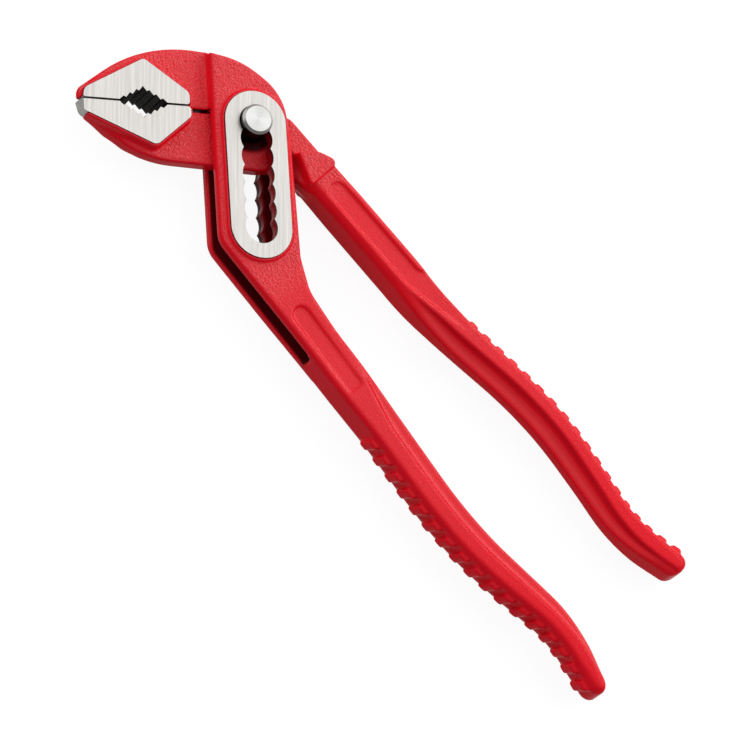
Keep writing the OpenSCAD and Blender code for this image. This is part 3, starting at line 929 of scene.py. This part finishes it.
@dataclass
class InnerArm(ForgedArm):
    """Lower jaw, the tongue that passes through the box and the upper handle, in one forging."""

    tongue_half: float = 2.7
    tongue_r: float = 0.9
    tongue_from: float = 13.9
    tongue_fillet: float = 1.7
    tongue_skin: float = 0.3  # this near to the tongue's face, the skin is the tongue
    eye_r: float = 9.5
    bore_r: float = 5.15
    bore_break: float = 0.1
    groove_r: float = 0.7
    pin_r: float = 5.1
    bare_nose: float = 2.6
    shoulder: tuple[Corner, ...] = (
        (16, 5.7, 0), (25.8, 1.6, 0), (26.9, 1.6, 0), (26.9, 13.5, 1.6),
        (24.6, 13.7, 2.5), (20.4, 11.6, 3),
    )
    shoulder_slab: Layer = Layer(6.5, 0.5, 0.3)
    root: tuple[Corner, ...] = ((22.7, 1.5, 0), (26.5, 1.5, 0), (26.5, 8, 0), (17.7, 6.5, 0))
    root_top: float = 2.4
    root_r: float = 1.3
    root_fillet: float = 0.6
    panel: tuple[Corner, ...] = (
        (31, 4.4, 2.6), (70, 4.6, 12), (98, 10.7, 0.3), (92, 16, 0), (77, 16, 0),
        (69, 10.4, 2), (31, 10.4, 2.9),
    )
    panel_sink: float = 0.95
    panel_fade: Span = (80.0, 97.0)
    panel_break: float = 0.25
    pin_shadow_reach: Span = (7.4, 9.8)  # from the pin, where the painted shadow of the pin ends
    pin_shadow_dark: float = 0.97
    # shade painted over the tongue where it lies between the cheeks
    tongue_shade_from: Span = (-13.0, -12.0)
    tongue_shade_to: Span = (12.0, 15.0)
    tongue_shade_dark: float = 0.12
    # painted shade at the foot of the wall under the shoulder
    foot_across: Span = (0.386, 0.9225)  # direction out of the wall under the shoulder
    foot_edge: Span = (-0.4, 0.6)
    foot_from: float = 11.0
    foot_to: Span = (14.5, 18.0)
    foot_half: float = 6.0
    foot_dark: float = 0.5

    def darkened(self, hx: Array, hy: Array, points: Array) -> Array:
        """Share of painted shade: the pin's shadow round the pin, a thin shade over the tongue, the
        parting line and the shoulder's foot.

        Args:
            hx: Places across the slot.
            hy: Places along the slot.
            points: The same places in the frame of the tool.

        Returns:
            One share for each place.
        """
        z = np.abs(points[:, 2])
        pin_shadow = (1 - eased(np.hypot(hx, hy), *self.pin_shadow_reach)) * self.pin_shadow_dark
        # Painted shade over the tongue between the cheeks.
        film = self.tongue_shade_dark * (1 - eased(hx, *self.tongue_shade_to)) * eased(hx, *self.tongue_shade_from)
        tongue = np.maximum(pin_shadow, film) * (z < self.tongue_half + self.tongue_skin)
        part = (np.abs(hy - JAWS.lower_y) < self.part_band) & (hx < -self.tongue_from)
        under = (np.array(self.shoulder[0][:2]) - points[:, :2]) @ np.array(self.foot_across)
        foot = eased(under, *self.foot_edge) * (1 - eased(hx, *self.foot_to))
        foot *= (hx > self.foot_from) * (z < self.foot_half) * self.foot_dark
        return np.maximum.reduce([tongue, part * self.part_dark, foot])

    def tongue_outline(self) -> Array:
        """Outline of the lower jaw's web and the tongue."""
        nose, part = 1.6 - JAWS.reach, JAWS.lower_y
        return rounded(STANCE.turned([
            (nose, part, 0.5), (nose, 1.4, 2), (-36.4, -13.2, 34), (2, -14.5, 0), (10, -13.8, 8),
            (19.6, -20.1, 0), (27, -13, 0), (23.6, -6.5, 0), (14.6, 3.8, 3), (5, 8, 0), (-7, part, 0),
        ]))

    def solid(self, v: Volume) -> tuple[Array, Marks]:
        """Field of the arm.

        Args:
            v: Grid to draw on.

        Returns:
            The field and the marks of the handle.
        """
        tongue = np.minimum(v.outline(self.tongue_outline()), v.discs([(0, 0)], self.eye_r))
        body = slab(tongue, v.z, self.tongue_half, self.tongue_r)
        within = np.maximum(v.hy - JAWS.lower_y, self.bare_nose - JAWS.reach - v.hx)
        body = self.with_pad(v, body, JAWS.lower(), within)
        handle, marks = self.grip.solid(v)
        handle = self.shoulder_slab.onto(handle, v.outline(rounded(self.shoulder)), v)
        faces = np.maximum(v.z - self.root_top, -v.z - self.grip.half)
        root = section(v.outline(rounded(self.root)), faces, self.root_r)
        body = joined(body, joined(handle, root, self.root_fillet), self.tongue_fillet)
        floor = self.grip.half - self.panel_sink * (1 - eased(v.x, *self.panel_fade))
        body = cut(body, self.sunk(v, rounded(self.panel), floor), self.panel_break)
        reach = np.hypot(v.hx, v.hy)
        groove = np.hypot(reach - self.pin_r, v.z) - self.groove_r
        body = cut(body, np.minimum(reach - self.bore_r, groove), self.bore_break)
        above = np.maximum(v.hx + self.tongue_from, JAWS.lower_y - v.hy)
        body = self.parted(v, body, JAWS.lower(self.past), above)
        return cut(body, JAWS.nose_cut(v), self.nose_break), marks


LOWER_GRIP = Grip(
    start=(60, -32.5, -4.5),
    stretches=((62, 0), (35, 12), (19.5, 0), (19, -21.5), (13, 0)),
    stations=(
        (0, 5.4, 7, 7.4, 0, 1.3), (20, 5.1, 7.4, 7.2, 0, 1.3), (40, 4.3, 8.5, 6.6, 1, 1.3),
        (66, 4.5, 7.7, 6.1, 1, 1.3), (88, 4.8, 6.9, 5.8, 1, 1.3), (104, 4.6, 6.6, 5.7, 1, 1.3),
        (118, 3.7, 6.4, 4.9, 1, 1.3), (129, 3.5, 5.3, 4.7, 0.95, 1.3), (139, 3.3, 3.7, 4.7, 0.3, 1.3),
        (148, 3.2, 3, 4.7, 0, 1.5),
    ),
    side=-1, outer_r=1.6, rib_from=41.2, rib_count=17, rib_pitch=6.35,
)
UPPER_GRIP = Grip(
    start=(25, 5.9, 0),
    stretches=((45, 0), (12, 8.5), (28, 0), (36, -15), (19, 0), (19.5, 22), (12.8, 0)),
    stations=(
        (0, 7.4, 4.4, 6, 0, 3.4), (45, 7.4, 4.6, 6, 0, 3), (57, 6.1, 5.9, 6.2, 0.55, 1.8),
        (67, 4.7, 6.7, 6.5, 0.9, 1.3), (90, 4.1, 6.5, 5.7, 1, 1.3), (113, 4.8, 6, 5.8, 1, 1.3),
        (133, 4.4, 5.7, 5.7, 1, 1.3), (146, 3.8, 5.9, 5.6, 0.9, 1.3), (158, 3.2, 5.6, 5.6, 0.55, 1.3),
        (166, 3.1, 5.3, 5.7, 0.3, 1.5), (172, 3.2, 5, 5.8, 0.2, 1.5),
    ),
    side=1, outer_r=1.9, rib_from=69.2, rib_count=18, rib_pitch=5.7, root_dip=0.35,
)


def linear(colour: str) -> tuple[float, float, float, float]:
    """Linear colour of an sRGB hex value.

    Args:
        colour: Value such as "#c4202b".

    Returns:
        Red, green, blue and an alpha of 1.
    """
    parts = [int(colour[i:i + 2], 16) / 255 for i in (1, 3, 5)]
    r, g, b = (c / 12.92 if c <= 0.04045 else ((c + 0.055) / 1.055) ** 2.4 for c in parts)
    return r, g, b, 1.0


def add_node(
    tree: bpy.types.NodeTree, kind: str, inputs: Optional[Inputs] = None, **settings: Setting,
) -> bpy.types.NodeOutputs:
    """Adds a shader node, sets it up and links what feeds it.

    Args:
        tree: Tree that takes the node.
        kind: Blender's name of the node type, without ShaderNode before it.
        inputs: Values for input sockets, or output sockets to link to them.
        **settings: Properties of the node.

    Returns:
        The outputs of the new node.
    """
    node = tree.nodes.new("ShaderNode" + kind)
    for name, value in settings.items():
        setattr(node, name, value)
    for name, value in (inputs or {}).items():
        if isinstance(value, Socket):
            tree.links.new(value, node.inputs[name])
        else:
            node.inputs[name].default_value = value
    return node.outputs


def facing(add: Adder, limits: Span) -> Socket:
    """Share of a surface that faces straight up or down.

    Args:
        add: Adds a node to the material.
        limits: How level a place has to be for a share of 0 and of 1.

    Returns:
        Socket with the share.
    """
    normal = add("NewGeometry")["Normal"]
    up = add("SeparateXYZ", {0: normal})["Z"]
    level = add("Math", {0: up}, operation="ABSOLUTE")[0]
    return add("MapRange", {"Value": level, "From Min": limits[0], "From Max": limits[1]})[0]


class Finish:
    """Finish of a surface."""

    name: str

    def shader(self, add: Adder) -> Socket:
        """Socket of the finish's shader; each finish wires up its own."""
        raise NotImplementedError

    def build(self) -> bpy.types.Material:
        """Makes the material.

        Returns:
            The material of this finish.
        """
        material = bpy.data.materials.new(self.name)
        material.use_nodes = True
        material.node_tree.nodes.clear()
        add = partial(add_node, material.node_tree)
        add("OutputMaterial", {"Surface": self.shader(add)})
        return material


# Stove enamel follows the skin of the forging. The eye gets a deep even red that sparkles over small
# pebbles on the flats and runs smooth and glossy in the coves; painted shade turns it nearly black
# in the joint, between the cheeks, along the parting lines and along the creases.
@dataclass(frozen=True)
class BakedPaint(Finish):
    """Baked enamel on an as-forged blank: pebbled where the die left the steel flat."""

    name: str = "baked_enamel_on_forged_steel"
    colour: str = "#ec1728"
    deep: str = "#dc1021"
    # colour of the painted shade
    oil: str = "#1a0506"
    cloud_mm: float = 18.0
    # Real pebbles are about 0.4 mm wide and a few hundredths deep: drawn coarser, so that they show.
    pebble_mm: float = 0.75
    pebble_deep_mm: float = 0.7
    pebble_weight: float = 0.9
    fine_mm: float = 0.45
    fine_deep_mm: float = 0.06
    fine_weight: float = 0.12
    # pebble pits painted darker and crests lighter: painted shade and light on the relief
    pit_shade: float = 0.09
    roughness: float = 0.32
    rough_swing: float = 0.08
    gloss_level: float = 0.03
    coat: float = 0.88
    ior: float = 1.5

    def shader(self, add: Adder) -> Socket:
        """Wires up the paint.

        Args:
            add: Adds a node to the material.

        Returns:
            Socket of the shader.
        """
        place = add("TexCoord")["Object"]
        grain, film, oil = (
            add("Attribute", attribute_name=share.value)["Fac"]
            for share in (Share.GRAIN, Share.COAT, Share.PAINTED_SHADE)
        )
        pebble, fine, cloud = (
            add("TexNoise", {
                "Vector": place, "Scale": 1 / (mm * MM), "Detail": detail, "Roughness": rough,
            })[0]
            for mm, detail, rough in (
                (self.pebble_mm, 2.0, 0.55), (self.fine_mm, 1.0, 0.5), (self.cloud_mm, 3.0, 0.5),
            )
        )
        red = {0: cloud, 6: linear(self.colour), 7: linear(self.deep)}
        red = add("Mix", red, data_type="RGBA")[2]
        # Painted shade darkens the red.
        red = add("Mix", {0: oil, 6: red, 7: linear(self.oil)}, data_type="RGBA")[2]
        # Painted shade and light on the pebbles: darker in their pits, lighter on their crests.
        pit_shift = add("MapRange", {
            "Value": pebble, "From Min": 0.3, "From Max": 0.7,
            "To Min": -self.pit_shade, "To Max": self.pit_shade,
        })[0]
        pit_scale = add("Math", {0: pit_shift, 1: grain, 2: 1.0}, operation="MULTIPLY_ADD")[0]
        red = add("VectorMath", {0: red, "Scale": pit_scale}, operation="SCALE")[0]
        low, high = self.roughness - self.rough_swing, self.roughness + self.rough_swing
        rough = add("MapRange", {"Value": grain, "To Min": low, "To Max": high})[0]
        weight = add("Math", {0: grain, 1: self.pebble_weight}, operation="MULTIPLY")[0]
        bump = add("Bump", {
            "Strength": weight, "Distance": self.pebble_deep_mm * MM, "Height": pebble,
        })[0]
        bump = add("Bump", {
            "Strength": self.fine_weight, "Distance": self.fine_deep_mm * MM, "Height": fine,
            "Normal": bump,
        })[0]
        film = add("Math", {0: film, 1: self.coat}, operation="MULTIPLY")[0]
        return add("BsdfPrincipled", {
            "Base Color": red, "Roughness": rough, "Normal": bump, "IOR": self.ior,
            "Specular IOR Level": self.gloss_level,
            "Coat Weight": film, "Coat Roughness": self.roughness, "Coat Normal": bump,
        })[0]


# A grinding belt leaves straight scratches side by side. The eye gets a pale silky face with fine
# streaks down the slot. The cut walls get a darker grey, which is painted shade; in the opening the
# walls are dark: black oxide in the jaw's notch, and a dark red that is painted shade in the slot.
@dataclass(frozen=True)
class GroundSteel(Finish):
    """Tool steel ground flat on a belt, with an opening whose walls are dark."""

    name: str
    hollow_at: Span
    hollow_mm: Span
    hollow_colour: str
    colour: str = "#d5d2ce"
    # walls and bevels are a darker grey than the faces: painted shade
    wall: str = "#8f8e8b"
    hollow_deep: float = 1000.0  # metres: the opening goes right through
    lay: float = math.radians(45)
    # Real belt grain is about 0.05 mm wide: drawn coarser, so that it shows.
    grain_mm: Point = (14.0, 0.28, 3.0)
    band_mm: Point = (30.0, 0.8, 3.0)
    scratch_mm: float = 0.02
    scratch_weight: float = 0.25
    tone: Span = (0.8, 1.1)
    face: Span = (0.5, 0.85)
    roughness: Span = (0.28, 0.44)
    low_gloss: float = 0.03

    def shader(self, add: Adder) -> Socket:
        """Wires up the steel.

        Args:
            add: Adds a node to the material.

        Returns:
            Socket of the shader.
        """
        place = add("TexCoord")["Object"]
        laid = add("Mapping", {"Vector": place, "Rotation": (0.0, 0.0, self.lay)})[0]
        streaks = []
        for size, detail, rough in ((self.grain_mm, 3.0, 0.6), (self.band_mm, 2.0, 0.5)):
            scale = tuple(1 / (mm * MM) for mm in size)
            drawn = add("Mapping", {"Vector": laid, "Scale": scale})[0]
            streaks.append(add("TexNoise", {
                "Vector": drawn, "Scale": 1.0, "Detail": detail, "Roughness": rough,
            })[0])
        grain, band = streaks
        shade = add("Math", {0: grain, 1: band}, operation="MULTIPLY")[0]
        tone = add("MapRange", {
            "Value": shade, "From Min": 0.08, "From Max": 0.42,
            "To Min": self.tone[0], "To Max": self.tone[1],
        })[0]
        face, near = facing(add, self.face), self._hollow(add, place)
        # The walls take a darker grey than the faces as painted shade, the opening's walls their own
        # dark colour.
        grey = {0: near, 6: linear(self.wall), 7: linear(self.hollow_colour)}
        grey = add("Mix", grey, data_type="RGBA")[2]
        grey = add("Mix", {0: face, 6: grey, 7: linear(self.colour)}, data_type="RGBA")[2]
        grey = add("VectorMath", {0: grey, "Scale": tone}, operation="SCALE")[0]
        # The opening's walls are not metal: black oxide in the jaw's notch, and in the plates' slot a
        # dark red that is painted shade.
        side = add("Math", {0: 1.0, 1: face}, operation="SUBTRACT")[0]
        darkened = add("Math", {0: near, 1: side}, operation="MULTIPLY")[0]
        bare = add("Math", {0: 1.0, 1: darkened}, operation="SUBTRACT")[0]
        bump = add("Bump", {
            "Strength": self.scratch_weight, "Distance": self.scratch_mm * MM, "Height": grain,
        })[0]
        low, high = self.roughness
        rough = add("MapRange", {"Value": band, "To Min": low, "To Max": high})[0]
        return add("BsdfPrincipled", {
            "Base Color": grey, "Metallic": bare, "Roughness": rough, "Normal": bump,
            "Specular IOR Level": self.low_gloss,
        })[0]

    def _hollow(self, add: Adder, place: Socket) -> Socket:
        """Mask of the opening in the piece.

        Args:
            add: Adds a node to the material.
            place: Socket with the place on the piece.

        Returns:
            Socket that is 1 within the opening.
        """
        middle = STANCE.turned([(*self.hollow_at, 0.0)])[0]
        spot = [(middle[i] + STANCE.pin[i]) * MM for i in (0, 1)]
        size = [mm * MM for mm in self.hollow_mm]
        share = add("Mapping", {
            "Vector": place, "Location": (*spot, 0.0), "Rotation": (0.0, 0.0, STANCE.head_turn),
            "Scale": (*size, self.hollow_deep),
        }, vector_type="TEXTURE")[0]
        reach = add("VectorMath", {0: share}, operation="LENGTH")["Value"]
        return add("Math", {0: reach, 1: 1.0}, operation="LESS_THAN")[0]


# The feed of a lathe, or a drawing die, leaves fine lines round the axis. The eye gets a bright end
# with a painted highlight, a soft fan of lighter and darker colour across it, and a dark side whose
# grey is painted shade and reflection.
@dataclass(frozen=True)
class TurnedSteel(Finish):
    """Bright steel with fine rings round the axis of the pin."""

    name: str = "turned_steel"
    colour: str = "#dcdcda"
    # dark grey of the side: painted shade and reflection
    side: str = "#3c3835"
    # Real feed marks are about 0.1 mm apart: drawn coarser, so that they show.
    ring_mm: float = 0.3
    ring_deep_mm: float = 0.01
    ring_weight: float = 0.2
    cloud_mm: float = 2.5
    face: Span = (0.55, 1.0)
    # painted highlight: the end is lighter and darker in a fan round the axis
    fan: Span = (0.88, 1.04)
    fan_turn: float = 0.6
    roughness: float = 0.28
    rough_swing: Span = (-0.05, 0.07)

    def shader(self, add: Adder) -> Socket:
        """Wires up the steel.

        Args:
            add: Adds a node to the material.

        Returns:
            Socket of the shader.
        """
        place = add("TexCoord")["Object"]
        axis = (STANCE.pin[0] * MM, STANCE.pin[1] * MM, 0.0)
        plan = add("VectorMath", {0: place, 1: axis}, operation="SUBTRACT")[0]
        plan = add("VectorMath", {0: plan, 1: (1.0, 1.0, 0.0)}, operation="MULTIPLY")[0]
        reach = add("VectorMath", {0: plan}, operation="LENGTH")["Value"]
        pitch = 2 * math.pi / (self.ring_mm * MM)
        turns = add("Math", {0: reach, 1: pitch}, operation="MULTIPLY")[0]
        rings = add("Math", {0: turns}, operation="SINE")[0]
        bump = add("Bump", {
            "Strength": self.ring_weight, "Distance": self.ring_deep_mm * MM, "Height": rings,
        })[0]
        cloud = {"Vector": place, "Scale": 1 / (self.cloud_mm * MM), "Detail": 2.0}
        cloud = add("TexNoise", cloud)[0]
        low, high = (self.roughness + swing for swing in self.rough_swing)
        rough = add("MapRange", {"Value": cloud, "To Min": low, "To Max": high})[0]
        return add("BsdfPrincipled", {
            "Base Color": self._tone(add, plan), "Metallic": 1.0, "Roughness": rough, "Normal": bump,
        })[0]

    def _tone(self, add: Adder, plan: Socket) -> Socket:
        """Colour of the steel: a painted highlight fanned across the end, and painted shade and
        reflection on the side.

        Args:
            add: Adds a node to the material.
            plan: Socket with the place in plan, from the axis.

        Returns:
            Socket with the colour.
        """
        spot = add("SeparateXYZ", {0: plan})
        # Painted highlight: a fan of lighter and darker colour round the axis.
        angle = add("Math", {0: spot["Y"], 1: spot["X"]}, operation="ARCTAN2")[0]
        twice = {0: angle, 1: 2.0, 2: self.fan_turn}
        twice = add("Math", twice, operation="MULTIPLY_ADD")[0]
        wave = add("Math", {0: twice}, operation="SINE")[0]
        low, high = self.fan
        fan = add("MapRange", {
            "Value": wave, "From Min": -1.0, "To Min": low, "To Max": high,
        })[0]
        # Painted shade and reflection on the side.
        grey = {0: facing(add, self.face), 6: linear(self.side), 7: linear(self.colour)}
        grey = add("Mix", grey, data_type="RGBA")[2]
        return add("VectorMath", {0: grey, "Scale": fan}, operation="SCALE")[0]


# Matt white card scatters light evenly. The eye gets a plain white ground with a faint soft shadow.
@dataclass(frozen=True)
class MattCard(Finish):
    """White card of the floor: white to the camera and in mirrors, grey for the light it throws back."""

    name: str = "matt_white_card"
    glow: float = 0.92
    shadow: float = 0.12
    bounce: float = 0.36

    def shader(self, add: Adder) -> Socket:
        """Wires up the card.

        Args:
            add: Adds a node to the material.

        Returns:
            Socket of the shader.
        """
        path = add("LightPath")
        seen = path["Is Camera Ray"]
        for ray in ("Is Glossy Ray", "Is Transmission Ray"):
            seen = add("Math", {0: seen, 1: path[ray]}, operation="MAXIMUM")[0]
        glow = add("Emission", {"Color": (1, 1, 1, 1), "Strength": self.glow})[0]
        faint, card = (
            add("BsdfDiffuse", {"Color": (grey, grey, grey, 1)})[0]
            for grey in (self.shadow, self.bounce)
        )
        shown = add("AddShader", {0: glow, 1: faint})[0]
        return add("MixShader", {0: seen, 1: card, 2: shown})[0]


@dataclass
class BareFittings:
    """Bare steel pieces that keep the shape of their solids: inserts, slot plates, pin and ring."""

    edge_mm: float = 0.1
    edge_segments: int = 2
    edge_angle: float = math.radians(35)
    notch: Span = (-37.0, 4.15)
    notch_mm: Span = (9.6, 9.6)
    notch_colour: str = "#221c18"
    slot: Span = (0.0, -17.7)
    slot_mm: Span = (6.6, 40.0)
    # dark red of the plates' slot walls: painted shade in the slot
    slot_shade_colour: str = "#5e161a"

    def dress(self) -> list[bpy.types.Object]:
        """Gives the pieces their finishes and breaks their edges.

        Returns:
            The dressed pieces.
        """
        insert = GroundSteel("ground_jaw_steel", self.notch, self.notch_mm, self.notch_colour).build()
        plate = GroundSteel("ground_plate_steel", self.slot, self.slot_mm, self.slot_shade_colour).build()
        pin = TurnedSteel().build()
        wire = TurnedSteel("drawn_spring_wire", colour="#8d8f8e", roughness=0.4).build()
        finishes = {
            "upper_jaw_insert": (insert, Slot.BARE), "lower_jaw_insert": (insert, Slot.BARE),
            "front_slot_plate": (plate, Slot.BARE), "back_slot_plate": (plate, Slot.BARE),
            "pivot_pin": (pin, Slot.PIN), "pin_ring": (wire, Slot.SPRING),
        }
        dressed = []
        for name, (finish, slot) in finishes.items():
            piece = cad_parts[name]
            piece.data.materials.clear()
            piece.data.materials.append(finish)
            if finish is not wire:
                self.break_edges(piece)
            dressed.append(piece)
        return dressed

    def break_edges(self, piece: bpy.types.Object) -> None:
        """Takes the sharpness off the edges of a piece.

        Args:
            piece: Piece that keeps its solid.
        """
        bevel = piece.modifiers.new("broken_edges", "BEVEL")
        bevel.width = self.edge_mm * MM
        bevel.segments = self.edge_segments
        bevel.limit_method = "ANGLE"
        bevel.angle_limit = self.edge_angle
        bevel.harden_normals = True


@dataclass(frozen=True)
class Lamp:
    """Flat lamp that faces the tool: place and size in metres, power in watts."""

    name: str
    place: Point
    size: Span
    power: float

    def hang(self) -> None:
        """Puts the lamp into the scene."""
        data = bpy.data.lights.new(self.name, "AREA")
        data.shape = "RECTANGLE"
        data.size, data.size_y = self.size
        data.energy = self.power
        lamp = bpy.data.objects.new(self.name, data)
        lamp.location = self.place
        lamp.rotation_mode = "QUATERNION"
        lamp.rotation_quaternion = (-Vector(self.place)).to_track_quat("-Z", "Y")
        bpy.context.scene.collection.objects.link(lamp)


@dataclass
class Studio:
    """Pale floor, dim white surroundings, three soft lamps and the camera."""

    aim_mm: Point = (3.6, -10.2, 8.0)
    right: Point = (0.6544, 0.6587, 0.3714)
    up: Point = (-0.7561, 0.5755, 0.3116)
    frame_mm: float = 236.6
    sensor_mm: float = 36.0
    distance: float = 2.5
    clip_end: float = 50.0
    floor_half: float = 8.0
    sky: float = 0.48
    lamps: tuple[Lamp, ...] = (
        Lamp("soft_lamp", (0.2, 0.95, 1.65), (2.6, 1.8), 10.0),
        Lamp("strip_lamp", (0.3, 1.5, 0.75), (2.8, 0.9), 20.0),
        Lamp("side_lamp", (-1.5, -0.2, 0.6), (1.8, 1.1), 8.5),
    )

    def camera(self) -> None:
        """Sets up the camera at the angle of the photograph."""
        data = bpy.data.cameras.new("camera")
        data.sensor_width = self.sensor_mm
        data.lens = self.sensor_mm * self.distance / (self.frame_mm * MM)
        data.clip_end = self.clip_end
        right = Vector(self.right).normalized()
        back = right.cross(Vector(self.up)).normalized()
        turn = Matrix((right, back.cross(right), back)).transposed().to_4x4()
        place = Vector(self.aim_mm) * MM + back * self.distance
        camera = bpy.data.objects.new("camera", data)
        camera.matrix_world = Matrix.Translation(place) @ turn
        bpy.context.scene.collection.objects.link(camera)
        bpy.context.scene.camera = camera

    def floor(self) -> None:
        """Lays the floor."""
        s = self.floor_half
        mesh = bpy.data.meshes.new("floor")
        mesh.from_pydata([(-s, -s, 0), (s, -s, 0), (s, s, 0), (-s, s, 0)], [], [(0, 1, 2, 3)])
        mesh.materials.append(MattCard().build())
        sheet = bpy.data.objects.new("floor", mesh)
        bpy.context.scene.collection.objects.link(sheet)

    def light(self) -> None:
        """Sets up the surroundings and hangs the lamps: above, low behind and on the left."""
        world = bpy.data.worlds.new("studio")
        world.use_nodes = True
        tree = world.node_tree
        tree.nodes.clear()
        sky = add_node(tree, "Background", {"Color": (1, 1, 1, 1), "Strength": self.sky})[0]
        add_node(tree, "OutputWorld", {"Surface": sky})
        bpy.context.scene.world = world
        for lamp in self.lamps:
            lamp.hang()

    def build(self) -> None:
        """Sets up the whole stage."""
        self.floor()
        self.light()
        self.camera()
        bpy.context.scene.view_settings.view_transform = "Standard"


def main() -> None:
    """Builds the part and its stage in order, and reports each piece."""
    logging.basicConfig(level=logging.INFO, format="%(name)s: %(message)s")
    paint = BakedPaint().build()
    arms = (
        SlottedArm("slotted_arm", Body.SLOTTED, LOWER_GRIP, grip_from=46),
        InnerArm("inner_arm", Body.INNER, UPPER_GRIP, grip_from=31),
    )
    for arm in arms:
        piece = arm.build(paint)
        LOG.info("%s: %d faces, %s", piece.name, len(piece.data.polygons), paint.name)
    for piece in BareFittings().dress():
        LOG.info("%s: solid kept, %s", piece.name, piece.data.materials[0].name)
    Studio().build()
    LOG.info("studio: floor, three lamps and camera")


if __name__ == "__main__":
    main()
